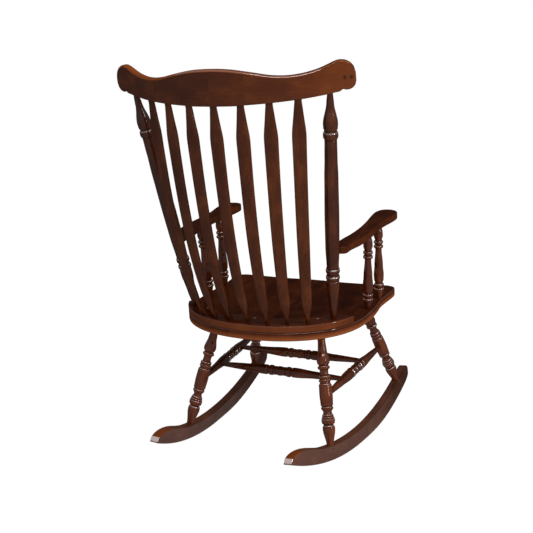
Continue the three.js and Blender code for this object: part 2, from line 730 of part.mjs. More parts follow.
for (const [side, sign] of sides) {
  const { place, length } = postAxes[side];
  const across = new THREE.Matrix4().extractRotation(place).invert();
  const armEnd = onArm(sign * armCentre, armRear, -armThickness / 2);
  const level = armEnd.clone().applyMatrix4(place.clone().invert()).z;
  const back = new THREE.Vector3(-sign * postPlugInwardShare, 1, 0);
  back.applyMatrix4(across).setZ(0).normalize();
  const centre = new THREE.Vector3(0, 0, level);
  const flat = Math.cos(Math.PI / postSides);
  const skinRadius = shareAt(postShares, level / length, 1) * postRadius * flat;
  const skin = centre.clone().addScaledVector(back, skinRadius);
  const local = placeBetween(skin, skin.clone().add(back));
  const plugPlace = place.clone().multiply(local);
  chair.add(plug(`post_plug_${side}`, plugPlace, cuts.posts[side]));
  const geometry = turning(
    postShares, postRadius, length, length, postFootTenon, postTopTenon, postSides,
  );
  chair.add(piece(`back_post_${side}`, cut(geometry, place, cuts.posts[side]), place, stain.turned));
}

// Plugs over the screws that hold the cleat down, each a set way in from the rim
for (const [where, side] of [['left', 1], ['middle', 0], ['right', -1]]) {
  const x = side * (postSpread - cleatPlugMargin);
  const foot = onSeat(x, rimY(x) - cleatPlugInset, cleatThickness + clearance);
  const head = onSeat(x, rimY(x) - cleatPlugInset, cleatThickness + clearance + plugLength);
  chair.add(plug(`cleat_plug_${where}`, placeBetween(foot, head), cuts.cleat));
}

for (const [side, sign] of sides) {
  chair.add(arm(side, sign));
  chair.add(rocker(side, sign));
}
chair.add(seatPlank(cuts.plank), seatCleat(cuts.cleat), crestRail(cuts.crest));

// The origin lies on the floor, under the middle of the whole chair
const box = new THREE.Box3().setFromObject(chair, true);
chair.position.y = -(box.min.y + box.max.y) / 2;

export default chair;
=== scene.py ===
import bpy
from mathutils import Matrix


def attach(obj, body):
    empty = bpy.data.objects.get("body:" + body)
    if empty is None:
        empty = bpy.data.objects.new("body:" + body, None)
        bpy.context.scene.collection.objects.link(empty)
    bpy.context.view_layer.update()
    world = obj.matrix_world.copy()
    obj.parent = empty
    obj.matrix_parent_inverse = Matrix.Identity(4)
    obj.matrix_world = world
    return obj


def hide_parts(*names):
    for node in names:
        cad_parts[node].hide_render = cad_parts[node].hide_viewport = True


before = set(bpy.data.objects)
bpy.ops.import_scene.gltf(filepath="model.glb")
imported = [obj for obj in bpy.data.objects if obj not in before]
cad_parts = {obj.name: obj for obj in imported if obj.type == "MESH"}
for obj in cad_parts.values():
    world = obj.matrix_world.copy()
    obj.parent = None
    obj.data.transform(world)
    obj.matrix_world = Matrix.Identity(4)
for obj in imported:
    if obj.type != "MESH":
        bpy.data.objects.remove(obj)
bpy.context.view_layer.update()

import math

import bpy
import numpy as np
from mathutils import Vector

# The legs are turned from hardwood: a vase foot, a bulb between scored lines, a long barrel, and
# a head that tapers up into the seat. They are stained, lacquered and glued blind at both ends,
# with the foot standing in a hole in its rocker.
mm = 0.001
turning_sides = 56
turning_step = 0.7 * mm
end_slack = 1.0 * mm
sharp_angle = math.radians(38)
corners = ("front_left", "front_right", "rear_left", "rear_right")

leg_tenons = (16 * mm, 17 * mm)
leg_overrun = 12 * mm
leg_pith = (4 * mm, 6 * mm)
leg_blank = 0.7
leg_coat = (0.042, 0.38)

# A turner's story from foot to head, in mm: the radius at the foot, then each cut with the height
# where it ends and the radius there
leg_story = [
    10.4, ("ease", 46.5, 18.0), ("dome", 56.4, 15.2), ("line", 57.2, 14.2), ("line", 59, 14.2),
    ("line", 59.8, 15.4), ("dome", 67, 19.2), ("ease", 71.5, 20.0),
    ("ease", 75.2, 18.4), ("line", 75.8, 17.2), ("bead", 80.8, 16.4, 1.9), ("line", 81.4, 15.4),
    ("bead", 88, 13.9, 2.0), ("line", 88.6, 13.4), ("ease", 94.5, 12.2), ("ease", 105.6, 17.8),
    ("dome", 109.8, 15.8), ("line", 110.4, 15.2), ("line", 111.6, 15.2),
    ("dome", 113.6, 18.0), ("ease", 142, 19.2), ("ease", 170, 18.6), ("dome", 175.6, 15.6),
    ("line", 180.4, 15.2), ("line", 181, 16.2), ("bead", 187.4, 15.8, 1.6), ("line", 188, 14.8),
    ("bead", 198, 14.2, 2.6), ("line", 199, 13.2), ("hollow", 208.6, 12.0), ("hollow", 216.4, 14.2),
    ("line", 217.2, 15.4), ("bead", 226.2, 15.4, 2.4), ("line", 227, 14.0), ("line", 229.6, 13.8),
    ("dome", 241, 18.7), ("ease", 272, 13.2), ("line", 293, 11.4),
]


def eased(share):
    """A climb from 0 to 1 that starts and ends level, s^2 * (3 - 2s)."""
    return share * share * (3 - 2 * share)


def ramp(values, low, high):
    """A straight climb from 0 at low to 1 at high, and level outside of them."""
    return np.clip((values - low) / (high - low), 0, 1)


# The shape of each cut over a share s of its length, as a share of its change in radius
turner_cuts = {
    "line": lambda s, falls: s,
    "ease": lambda s, falls: eased(s),
    "dome": lambda s, falls: np.where(falls, 1 - np.sqrt(1 - s * s), np.sqrt(1 - (1 - s) ** 2)),
    "hollow": lambda s, falls: np.where(falls, np.sqrt(1 - (1 - s) ** 2), 1 - np.sqrt(1 - s * s)),
    "bead": lambda s, falls: s,
}


def turned_profile(story):
    """Heights and radii of a turning: each cut runs from the last radius to its own by its shape,
    and a bead adds half an ellipse, rise * sqrt(1 - (2s - 1)^2)."""
    start_radius, *cuts = story
    heights, radii = [0.0], [start_radius * mm]
    for kind, end, radius, *rise in cuts:
        base, before = heights[-1], radii[-1]
        end, radius = end * mm, radius * mm
        steps = max(2, math.ceil((end - base) / turning_step))
        s = np.arange(1, steps + 1) / steps
        r = before + (radius - before) * turner_cuts[kind](s, radius < before)
        if rise:
            r = r + rise[0] * mm * np.sqrt(np.maximum(0, 1 - (2 * s - 1) ** 2))
        heights.extend(base + (end - base) * s)
        radii.extend(r)
    return np.array(heights), np.array(radii)


def node_points(name):
    """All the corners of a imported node, each place once, in metres."""
    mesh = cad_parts[name].data
    flat = np.empty(len(mesh.vertices) * 3, dtype=np.float32)
    mesh.vertices.foreach_get("co", flat)
    return np.unique(np.round(flat.reshape(-1, 3).astype(float), 5), axis=0)


def stick_ends(name, order=2):
    """Middles of a long node's two ends, found along its longest direction, the lower one first
    along the axis given by order."""
    points = node_points(name)
    centred = points - points.mean(axis=0)
    along = centred @ np.linalg.svd(centred, full_matrices=False)[2][0]
    first = points[along < along.min() + end_slack].mean(axis=0)
    last = points[along > along.max() - end_slack].mean(axis=0)
    return (first, last) if first[order] < last[order] else (last, first)


def unit(vectors):
    return vectors / np.linalg.norm(vectors, axis=-1, keepdims=True)


def shoulders(name, tenons, order=2):
    """A stick's two ends without the tenons that stand in their holes."""
    foot, head = stick_ends(name, order)
    axis = unit(head - foot)
    return foot + axis * tenons[0], head - axis * tenons[1]


def stick_axes(foot, head, facing=(0.0, 1.0, 0.0)):
    """Rows of a stick's own frame: across, toward facing, and along from foot to head."""
    along = unit(head - foot)
    toward = unit(np.array(facing) - np.dot(facing, along) * along)
    return np.array([np.cross(toward, along), toward, along])


def full_turn(sides):
    """Angles of equal steps once round a circle."""
    return np.arange(sides) * (2 * math.pi / sides)


def as_points(x, y, z):
    """Points from three coordinates, whose arrays are spread to one shape."""
    return np.stack(np.broadcast_arrays(x, y, z), axis=-1)


def shown(name, data):
    """A new object in the scene, with its mesh, lamp or camera."""
    thing = bpy.data.objects.new(name, data)
    bpy.context.scene.collection.objects.link(thing)
    return thing


def with_middles(rings):
    """All the values on a surface's rings, then the means of its first and its last ring."""
    return np.concatenate([*rings, rings[[0, -1]].mean(axis=1)]).astype(np.float32).ravel()


def skin(name, rings, grain, rub=0.0, lacquer=None):
    """A closed surface over an array of rings of points, each ring joined to the next by quads
    and both end rings filled by a fan about their middles. Grain holds each point's place in
    the wood, with its third number along the grain. Wear_and_painted_light is how far use has
    thinned its stain, or below 0 how dark it has gathered; on the crest it is painted light,
    and on the cleat's top and toward the rockers' fronts painted shade. Lacquer is the coat's
    weight where it varies."""
    count, around = rings.shape[:2]
    turn = np.arange(around)
    after = (turn + 1) % around
    row = np.arange(count - 1)[:, None] * around
    quads = np.stack([row + turn, row + after, row + around + after, row + around + turn], axis=-1)
    last = (count - 1) * around
    nose = as_points(count * around, after, turn)
    tail = as_points(count * around + 1, last + turn, last + after)
    indices = np.concatenate([quads.ravel(), nose.ravel(), tail.ravel()])
    sizes = np.concatenate([np.full(quads.size // 4, 4), np.full(2 * around, 3)])
    mesh = bpy.data.meshes.new(name)
    piece = shown(name, mesh)
    mesh.vertices.add(count * around + 2)
    mesh.vertices.foreach_set("co", with_middles(rings))
    mesh.loops.add(len(indices))
    mesh.loops.foreach_set("vertex_index", indices.astype(np.int32))
    mesh.polygons.add(len(sizes))
    starts = np.cumsum(sizes) - sizes
    mesh.polygons.foreach_set("loop_start", starts.astype(np.int32))
    mesh.polygons.foreach_set("loop_total", sizes.astype(np.int32))
    mesh.update(calc_edges=True)
    mesh.validate()
    mesh.shade_smooth()
    mesh.set_sharp_from_angle(angle=sharp_angle)
    places = mesh.attributes.new("grain", "FLOAT_VECTOR", "POINT")
    places.data.foreach_set("vector", with_middles(grain))
    for name, values in (("rub", rub), ("lacquer", lacquer)):
        if values is not None:
            layer = mesh.attributes.new(name, "FLOAT", "POINT")
            values = np.broadcast_to(values, (count, around))
            layer.data.foreach_set("value", with_middles(values))
    return piece


def crest_and_groove(heights, radii, reach=4 * mm):
    """How far each ring stands above the mean of the rings within reach of it, 1 being 1 mm."""
    near = np.abs(heights[:, None] - heights) < reach
    return (radii - (near * radii).sum(axis=1) / near.sum(axis=1)) / mm


# A shoulder's slope and its height, each where the lacquer begins and where it is full
shoulder_slopes = (0.15, 0.5)
shoulder_relief = (-0.1, 0.7)


def turned_stick(name, ends, story, overrun, wood_offset, coat=None, stretched=True,
                 sides=turning_sides):
    """A turning about the line from foot to head: the point at height h and angle a lies at
    foot + h * along + r(h) * (cos a * across + sin a * toward). Its story is stretched to its
    length unless it stops short of the head, and both ends run on into their holes. Its coat
    is the lacquer's weight, and how much more lies where a bead's shoulder faces the head."""
    foot, head = ends
    length = np.linalg.norm(head - foot)
    heights, radii = turned_profile(story)
    if stretched:
        heights = heights * length / heights[-1]
    rub = crest_and_groove(heights, radii)
    if overrun:
        heights = np.concatenate([[-overrun], heights, [length + overrun]])
        radii = np.pad(radii, 1, mode="edge")
        rub = np.pad(rub, 1)
    turn = full_turn(sides)
    wide = radii[:, None]
    local = as_points(wide * np.cos(turn), wide * np.sin(turn), heights[:, None])
    rings = foot + local @ stick_axes(foot, head)
    lacquer = None
    if coat:
        upward = ramp(-np.gradient(radii, heights), *shoulder_slopes)
        lacquer = (coat[0] + coat[1] * upward * ramp(rub, *shoulder_relief))[:, None]
    return skin(name, rings, local + wood_offset, rub[:, None], lacquer)


class Shade:
    """One output of a material's nodes, so that shader maths reads as a Python expression."""

    def __init__(self, tree, socket=None):
        self.tree = tree
        self.socket = socket

    def add(self, kind, settings, inputs, output=0):
        """Adds a node: its settings, a ramp's stops among them, then its values and links."""
        node = self.tree.nodes.new(kind)
        for key, value in settings.items():
            if key == "stops":
                while len(node.color_ramp.elements) < len(value):
                    node.color_ramp.elements.new(0.5)
                for element, (place, colour) in zip(node.color_ramp.elements, value):
                    element.position = place
                    element.color = colour
            else:
                setattr(node, key, value)
        for key, value in inputs.items():
            if isinstance(value, Shade):
                self.tree.links.new(value.socket, node.inputs[key])
            else:
                node.inputs[key].default_value = value
        return Shade(self.tree, node.outputs[output] if node.outputs else None)

    def maths(self, operation, *values):
        return self.add("ShaderNodeMath", {"operation": operation}, dict(enumerate(values)))

    def __add__(self, other):
        return self.maths("ADD", self, other)

    def __sub__(self, other):
        return self.maths("SUBTRACT", self, other)

    def __mul__(self, other):
        return self.maths("MULTIPLY", self, other)

    def __truediv__(self, other):
        return self.maths("DIVIDE", self, other)

    def __rsub__(self, other):
        return self.maths("SUBTRACT", other, self)

    __radd__ = __add__

    def between(self, low, high):
        """0 below low, 1 above high, and a straight climb from one to the other."""
        inputs = {"Value": self, "From Min": low, "From Max": high}
        return self.add("ShaderNodeMapRange", {"clamp": True}, inputs)

    def toward(self, other, share):
        """This colour mixed with another one by a share."""
        inputs = {0: share, 6: self, 7: other}
        return self.add("ShaderNodeMix", {"data_type": "RGBA"}, inputs, output=2)

    def attribute(self, name, output):
        """What a piece's points hold under a name: output 1 is a vector, and 2 is a number."""
        return self.add("ShaderNodeAttribute", {"attribute_name": name}, {}, output)

    def vector(self, operation, *values, output=0):
        """Vector maths with this vector as the first value."""
        inputs = dict(enumerate([self, *values]))
        return self.add("ShaderNodeVectorMath", {"operation": operation}, inputs, output)

    def stretched(self, scale):
        """This vector times another, which draws a pattern out along the grain."""
        return self.vector("MULTIPLY", scale)

    def length(self):
        return self.vector("LENGTH", output=1)

    def noise(self, detail=2.0, roughness=0.5):
        """Soft noise read at this vector."""
        inputs = {"Vector": self, "Scale": 1.0, "Detail": detail, "Roughness": roughness}
        return self.add("ShaderNodeTexNoise", {}, inputs)


def cleared(holder):
    """Empties the nodes of a material or a world and returns a start for new ones."""
    holder.use_nodes = True
    holder.node_tree.nodes.clear()
    return Shade(holder.node_tree)


# The wood's patterns: how often each one turns in a metre across, up and along the grain, and
# how strongly it shows
blotch_scale = (24, 24, 13)
streak_scale = (420, 420, 9)
fibre_scale = (1500, 1500, 26)
pore_scale = (1100, 1100, 70)
pore_range = (0.6, 0.7)
ring_scale = (1, 1, 0.05)
ring_pitch = 1500.0
ring_wander = 16.0
ring_range = (-0.2, 1.0)
board_lift = 0.4
board_slide = 1.7
streak_share = 0.35
body_range = (0.17, 0.83)
ring_tint = 0.16
pore_tint = 0.3
board_glow = 0.5
board_shade = 0.35
knot_range = (1.5 * mm, 7 * mm)
knot_tint = 0.95
wear_and_light_range = (0.15, 3.2)
wear_and_light_tint = 0.85
darkening_range = (0.1, 1.4)
darkening_tint = 0.75
groove_shade = 0.4

# The finish: a thin coat of high index over a base without a gloss of its own
base_rough = 0.22
streak_rough = 0.1
pore_rough = 0.12
coat_rough = 0.07
coat_index = 4.0
plain_lacquer = 0.023
relief_strength = 0.22
relief_height = 0.4 * mm
fibre_relief = 0.35
streak_relief = 0.4
pore_relief = 0.9


def wood(name, deep, stain, glow, board_width=0.0, board_way=0, board_contrast=1.0, knots=(),
         lacquer=None, worn_or_lit=None):
    """Stained, lacquered hardwood. The stain runs in streaks and soft growth rings along the
    grain, sinks into the pores and grooves, and is rubbed thin on crests. The same lighter and
    darker colours also carry painted light on the crest and painted shade on the cleat's top
    and toward the rockers' fronts. Boards of one width are joined across the grain (way 0) or
    end to end (way 2), and each has a tone of its own. A knot is a dark spot about a place in
    the wood, given by its height and its length along. Worn_or_lit is the colour where the
    stain is rubbed through, and where light is painted on, the glow if it isn't given. Lacquer
    is the coat's weight all over, where the piece's own lacquer attribute doesn't hold it."""
    material = bpy.data.materials.new(name)
    start = cleared(material)
    gathered_stain_and_shade = [groove_shade * channel for channel in deep]
    deep, stain, glow, worn_or_lit_colour, gathered_stain_and_shade = (
        (*colour, 1.0) for colour in (deep, stain, glow, worn_or_lit or glow, gathered_stain_and_shade)
    )
    in_log = start.attribute("grain", 1)
    rub = start.attribute("rub", 2)
    place = in_log
    if board_width:
        across = start.add("ShaderNodeSeparateXYZ", {}, {"Vector": place}, output=board_way)
        board = start.maths("FLOOR", across / board_width)
        tone = start.add("ShaderNodeTexWhiteNoise", {"noise_dimensions": "1D"}, {"W": board})
        shift = {"Y": tone * board_lift, "Z": tone * board_slide}
        place = place.vector("ADD", start.add("ShaderNodeCombineXYZ", {}, shift))
    blotch = place.stretched(blotch_scale).noise(3.0)
    streak = place.stretched(streak_scale).noise(4.0, 0.62)
    fibre = place.stretched(fibre_scale).noise(2.0, 0.6)
    pores = place.stretched(pore_scale).noise(1.0).between(*pore_range)
    from_pith = place.stretched(ring_scale).length()
    rings = start.maths("SINE", from_pith * ring_pitch + blotch * ring_wander).between(*ring_range)
    body = (streak * streak_share + blotch * (1 - streak_share)).between(*body_range)
    stops = [(0.0, deep), (0.5, stain), (1.0, glow)]
    colour = start.add("ShaderNodeValToRGB", {"stops": stops}, {"Fac": body})
    colour = colour.toward(deep, rings * ring_tint + pores * pore_tint)
    if board_width:
        colour = colour.toward(glow, tone * (board_glow * board_contrast))
        colour = colour.toward(deep, (1.0 - tone) * (board_shade * board_contrast))
    colour = colour.toward(worn_or_lit_colour, rub.between(*wear_and_light_range) * wear_and_light_tint)
    for knot in knots:
        away = in_log.stretched((0, 1, 1)).vector("SUBTRACT", (0, *knot)).length()
        colour = colour.toward(deep, (1.0 - away.between(*knot_range)) * knot_tint)
    colour = colour.toward(gathered_stain_and_shade, (rub * -1.0).between(*darkening_range) * darkening_tint)
    rough = base_rough + streak * streak_rough + pores * pore_rough
    height = fibre * fibre_relief - pores * pore_relief + streak * streak_relief
    relief = {"Strength": relief_strength, "Distance": relief_height, "Height": height}
    relief = start.add("ShaderNodeBump", {}, relief)
    if lacquer is None:
        lacquer = start.attribute("lacquer", 2)
    shader = start.add("ShaderNodeBsdfPrincipled", {}, {
        "Base Color": colour, "Roughness": rough, "Normal": relief, "IOR": 1.5,
        "Specular IOR Level": 0.0, "Coat Weight": lacquer, "Coat Roughness": coat_rough,
        "Coat IOR": coat_index,
    })
    start.add("ShaderNodeOutputMaterial", {}, {"Surface": shader})
    return material


def dress(piece, material, node):
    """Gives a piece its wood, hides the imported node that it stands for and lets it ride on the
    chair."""
    piece.data.materials.append(material)
    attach(piece, "root")
    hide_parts(node)


turned_wood = wood(
    "turned_wood", (0.022, 0.0036, 0.0009), (0.07, 0.0135, 0.0027), (0.18, 0.042, 0.008)
)
# The legs take a lighter copy of the turned wood's colours: painted light on the legs.
leg_wood_painted_lighter = wood(
    "leg_wood_painted_lighter", (0.026, 0.0045, 0.0012), (0.102, 0.02, 0.0042), (0.23, 0.054, 0.0105)
)

for number, corner in enumerate(corners):
    leg = turned_stick(
        f"turned_leg_{corner}", shoulders(f"leg_{corner}", leg_tenons), leg_story, leg_overrun,
        (*leg_pith, leg_blank * number), leg_coat, stretched=False,
    )
    dress(leg, leg_wood_painted_lighter, f"leg_{corner}")

# The rockers are sawn from flat boards and bent to their curve. They lean inward with the legs,
# which stand in holes along their top, and grow a little deeper toward both ends. Each one ends
# behind in a long rounded nose, cut off by a small polished facet.
rocker_radius = 1033 * mm
rocker_thickness = 26 * mm
rocker_depth = 42.5 * mm
rocker_ease = 3.5 * mm
rocker_bow = 14 * mm
rocker_rear_reach = 363 * mm
rocker_front_reach = 470 * mm
rocker_toe = 0.074
rocker_lean = math.radians(6)
rocker_low_ease = 1.2 * mm
rocker_tail_depth = 5 * mm
rocker_tail_growth = (170 * mm, 260 * mm)
rocker_tail_extra = 6 * mm
rocker_front_depth = 6.5 * mm
rocker_front_growth = (60 * mm, 260 * mm)
rocker_front_taper = 28 * mm
rocker_front_drop = 18 * mm
rocker_front_rise = 10 * mm
nose_start = 110 * mm
nose_over = 4 * mm
nose_drop = 52 * mm
facet_lip = 5 * mm
facet_slope = 1.73
facet_top = 7.4 * mm
facet_margin = 0.2 * mm
rocker_front_steps = 22
rocker_steps = 150
nose_steps = 30
facet_steps = 5
rocker_pith = 30 * mm
rocker_blank = 0.3

# Where the stain is rubbed thin or gathers, how far the front is darkened as painted shade, and how
# much lacquer lies on each face
rocker_top_edge = 0.8
rocker_low_edge = 0.1
rocker_top_rub = 0.5
rocker_nose_rub = 2.5
rocker_nose_rub_gain = 1.7
rocker_edge_stain = 0.8
rocker_front_painted_shade = 0.9
rocker_front_shade = (150 * mm, 350 * mm)
rocker_top_lacquer = 0.015
rocker_side_lacquer = 0.07
rocker_front_lacquer = 0.02
facet_lacquer = 1.0
floor_touch = 0.02 * mm


def rounded_section(half_width, low, high, ease_top, ease_low, corner_steps=4):
    """Points round rectangles with quarter-circle corners, for one half width or an array, and
    arrays of heights: across, then up, from the low middle round by the +across side.
    A piece whose faces would look inward takes the across values negated."""
    turn = np.linspace(0, math.pi / 2, corner_steps + 1)
    from_side, from_end = 1 - np.sin(turn), 1 - np.cos(turn)
    side, low, high = (np.reshape(value, (-1, 1)) for value in (half_width, low, high))
    right = np.concatenate([side - ease_low * from_side, side - ease_top * from_end], axis=1)
    up = np.concatenate([low + ease_low * from_end, high - ease_top * from_side], axis=1)
    across = np.concatenate([right, -right[:, ::-1]], axis=1)
    return across, np.concatenate([up, up[:, ::-1]], axis=1)


def arc_drop(share):
    """How far a quarter circle has dropped at a share of its way, 1 - sqrt(1 - s^2)."""
    return 1 - np.sqrt(1 - share ** 2)


rocker_wood = wood(
    "rocker_wood", (0.03, 0.008, 0.004), (0.1, 0.033, 0.017), (0.17, 0.06, 0.03),
    worn_or_lit=(0.2, 0.045, 0.006),
)

rocker_stand = {}
for side, sign in (("left", 1), ("right", -1)):
    points = node_points(f"rocker_{side}")
    rocker_stand[side] = points[points[:, 2] < floor_touch].mean(axis=0)
    tail = rocker_rear_reach + rocker_tail_extra
    main = np.linspace(rocker_front_taper - rocker_front_reach, tail - nose_start, rocker_steps)
    turn = np.linspace(0, math.pi / 2, rocker_front_steps)
    front = rocker_front_taper * (1 - np.sin(turn[:0:-1])) - rocker_front_reach
    nose = tail - np.linspace(nose_start, facet_top + facet_margin, nose_steps)[1:]
    facet = tail - np.linspace(facet_top - facet_margin, 0, facet_steps)
    along = np.concatenate([front, main, nose, facet])
    to_end = tail - along
    nose_share = ramp(nose_start - to_end, 0, nose_start + nose_over)
    front_share = np.clip(1 - (along + rocker_front_reach) / rocker_front_taper, 0, 1)
    depth = rocker_depth + rocker_tail_depth * eased(ramp(along, *rocker_tail_growth))
    depth = depth - nose_drop * arc_drop(nose_share) - rocker_front_drop * arc_drop(front_share)
    depth = np.minimum(depth, facet_lip + facet_slope * to_end)
    arc = rocker_radius - np.sqrt(rocker_radius ** 2 - along ** 2)
    high = arc + depth
    low = arc - rocker_front_depth * eased(ramp(-along, *rocker_front_growth))
    low += rocker_front_rise * arc_drop(front_share)
    half_width = rocker_thickness / 2
    across, rise = rounded_section(half_width, low, high, rocker_ease, rocker_low_ease)
    across = -across
    up_the_edge = 1 + (rise - high[:, None]) / rocker_ease
    on_top = up_the_edge > rocker_top_edge
    on_edge = (up_the_edge > rocker_low_edge) & ~on_top
    nose_rub = rocker_nose_rub * np.clip(rocker_nose_rub_gain * nose_share, 0, 1)[:, None]
    edge_rub = np.where(on_edge, nose_rub - rocker_edge_stain, 0.0)
    # Toward the front the rocker is darkened: painted shade.
    in_front = ramp(-along, *rocker_front_shade)[:, None]
    rub = np.where(on_top, nose_rub + rocker_top_rub, edge_rub) - rocker_front_painted_shade * in_front
    side_lacquer = rocker_side_lacquer + (rocker_front_lacquer - rocker_side_lacquer) * in_front
    lacquer = np.where(on_top | on_edge, rocker_top_lacquer, side_lacquer)
    lacquer = np.where((to_end[:, None] < facet_top) & on_top, facet_lacquer, lacquer)
    bow = -sign * rocker_bow * (along / rocker_front_reach) ** 2
    toe = math.atan(rocker_toe)
    lean, upright = math.sin(rocker_lean), math.cos(rocker_lean)
    over_middle = rise - low[:, None] - rocker_depth / 2
    x = upright * across - sign * lean * over_middle + bow[:, None]
    y = along[:, None]
    rings = rocker_stand[side] + as_points(
        x * math.cos(toe) - sign * y * math.sin(toe),
        y * math.cos(toe) + sign * x * math.sin(toe),
        rise + lean * (sign * across + rocker_thickness / 2),
    )
    grain = as_points(across + rocker_pith, rise - low[:, None] + rocker_blank * sign, y)
    rocker = skin(f"bent_rocker_{side}", rings, grain, rub, lacquer)
    dress(rocker, rocker_wood, f"rocker_{side}")

# The stretchers are turned like slim vases on both sides of a beaded middle. One joins the legs
# of each side, and two cross between those, all glued into bored holes.
stretcher_tenons = (13 * mm, 13 * mm)
stretcher_overrun = 4 * mm
stretcher_pith = (5 * mm, 3 * mm)
stretcher_blank = 0.45
stretcher_log = 3.1
stretcher_coats = {"side": (0.038, 0.5), "cross": (0.038, 0.06)}
stretcher_story = [
    7.2, ("line", 40, 11.3), ("ease", 76, 15.4), ("dome", 80.4, 14.4), ("line", 81.2, 12.6),
    ("line", 82.6, 12.6), ("line", 83.2, 13.3), ("bead", 90.8, 13.3, 2.7), ("line", 91.6, 12.2),
    ("bead", 96.2, 12.2, 1.8), ("line", 96.8, 12.2), ("bead", 107.2, 12.2, 2.7),
    ("line", 107.8, 12.2), ("bead", 112.4, 12.2, 1.8), ("line", 113.2, 13.3),
    ("bead", 120.8, 13.3, 2.7), ("line", 121.4, 12.6), ("line", 122.8, 12.6),
    ("line", 123.6, 14.4), ("dome", 128, 15.4), ("ease", 164, 11.3), ("line", 204, 7.2),
]

for number, (row, order) in enumerate([
    ("side_stretcher_left", 1), ("side_stretcher_right", 1),
    ("cross_stretcher_front", 0), ("cross_stretcher_rear", 0),
]):
    stretcher = turned_stick(
        f"turned_{row}", shoulders(row, stretcher_tenons, order), stretcher_story,
        stretcher_overrun, (*stretcher_pith, stretcher_log + stretcher_blank * number),
        stretcher_coats[row.split("_")[0]],
    )
    dress(stretcher, turned_wood, row)

# The seat is a thick plank of edge-glued boards, sawn to a rounded outline with hollowed sides,
# its top scooped a little for the sitter and its edges eased. It tilts down toward the back.
seat_half_width = 283 * mm
seat_rear_reach = 241 * mm
seat_rear_centre = -28 * mm
seat_front = -308 * mm
seat_thickness = 25 * mm
seat_ease = 4 * mm
rim_power = 2.2
dish_depth = 5.5 * mm
dish_half_width = 232 * mm
dish_half_length = 190 * mm
dish_centre = -95 * mm
arm_post_tenons = (17 * mm, 12 * mm)
arm_post_seat_front = -172 * mm
seat_hub = (0.0, -50 * mm)
seat_spokes = 40
seat_points = 360
rim_steps = 15
hub_share = 0.02
seat_log = (20 * mm, 50 * mm, 0.0)
board_width = 74 * mm
board_contrast = 0.55
rim_margin = 1.5 * mm
rim_rub = 2.5
seat_lacquer_top = 0.0075
seat_lacquer_edge = 0.1

# Side and front of the seat: share of the half width, share of the reach to the front
seat_side_shares = [
    (1.003, 0.2), (0.99, 0.34), (0.976, 0.47), (0.981, 0.62), (0.993, 0.8), (0.99, 0.9),
    (0.965, 0.965), (0.92, 0.993), (0.8, 1.0), (0.56, 0.99), (0.33, 0.985), (0.12, 0.997),
]


def walked_lengths(points):
    """How far each point of a line lies from the first one along the line."""
    return np.concatenate([[0], np.cumsum(np.linalg.norm(np.diff(points, axis=0), axis=1))])


def smooth_values(places, values, at, level_start=False):
    """What values become between their places: a cubic in each step, with the slope at a place
    taken from its two neighbours, or 0 at a level start."""
    slopes = np.gradient(values, places)
    if level_start:
        slopes[0] = 0.0
    step = np.clip(np.searchsorted(places, at, side="right") - 1, 0, len(places) - 2)
    width = places[step + 1] - places[step]
    s = (at - places[step]) / width
    return (
        values[step] * eased(1 - s) + values[step + 1] * eased(s)
        + slopes[step] * width * s * (1 - s) ** 2 + slopes[step + 1] * width * s * s * (s - 1)
    )


def smooth_loop(points, count, fineness=12):
    """A closed smooth curve through points, walked at equal steps."""
    wrapped = np.concatenate([points[-2:], points, points[:3]])
    walked = walked_lengths(wrapped)
    fine = np.linspace(walked[2], walked[2 + len(points)], fineness * count)
    curve = np.stack([smooth_values(walked, column, fine) for column in wrapped.T], axis=-1)
    paced = walked_lengths(curve)
    even = np.linspace(0, paced[-1], count, endpoint=False)
    return np.stack([np.interp(even, paced, column) for column in curve.T], axis=-1)


def board_rings(outline, thickness, ease, hub, spokes=26, dished=None, edge_steps=6):
    """Rings of a flat board: from its hub out to the outline over the top, round both eased
    edges, and back to the hub underneath. Heights are zero at the top face."""
    ahead = np.roll(outline, -1, axis=0) - np.roll(outline, 1, axis=0)
    normal = unit(ahead[:, ::-1] * (1, -1))
    inner = outline - normal * ease
    shares = np.linspace(hub_share, 1, spokes)
    face = hub + (inner - hub) * shares[:, None, None]
    turn = np.linspace(0, math.pi / 2, edge_steps + 1)[1:]
    top_edge = inner + normal * (ease * np.sin(turn))[:, None, None]
    top_drop = -ease * (1 - np.cos(turn))
    low_edge = inner + normal * (ease * np.cos(turn - turn[0]))[:, None, None]
    low_drop = -thickness + ease * (1 - np.sin(turn - turn[0]))
    flat = np.concatenate([face, top_edge, low_edge, inner[None], face[::-1]])
    sunk = np.zeros(face.shape[:2]) if dished is None else dished(face[..., 0], face[..., 1])
    rise = np.concatenate([
        sunk, sunk[-1] + top_drop[:, None],
        np.broadcast_to(low_drop[:, None], low_edge.shape[:2]),
        np.full((1 + spokes, len(outline)), -thickness),
    ])
    return np.concatenate([flat, rise[..., None]], axis=-1)


def dish(x, y):
    """Depth of the scooped seat: a bowl, -depth * (1 - r^2)^1.5, inside an ellipse."""
    r2 = (x / dish_half_width) ** 2 + ((y - dish_centre) / dish_half_length) ** 2
    return -dish_depth * np.maximum(0, 1 - r2) ** 1.5


def signed_power(values, power):
    """A power of the values' sizes, with their signs kept."""
    return np.sign(values) * np.abs(values) ** power


def rear_rim(half_width, reach, angles):
    """The squared ellipse that the seat's rear follows, at angles from its +x side."""
    return np.stack([
        half_width * signed_power(np.cos(angles), 2 / rim_power),
        seat_rear_centre + reach * signed_power(np.sin(angles), 2 / rim_power),
    ], axis=-1)


def board_frame(front, rear, front_place):
    """The frame of a board that tilts back: rows across, back and up, and its middle. It runs
    through two points, and the front one lies at front_place along it."""
    back = unit((rear - front) * (0, 1, 1))
    middle = (front - front_place * back) * (0, 1, 1)
    return np.array([(1, 0, 0), back, np.cross((1, 0, 0), back)]), middle


arm_post_ends = {corner: shoulders(f"arm_post_{corner}", arm_post_tenons) for corner in corners}
seat_axes, seat_middle = board_frame(
    arm_post_ends["front_left"][0], arm_post_ends["rear_left"][0], arm_post_seat_front
)

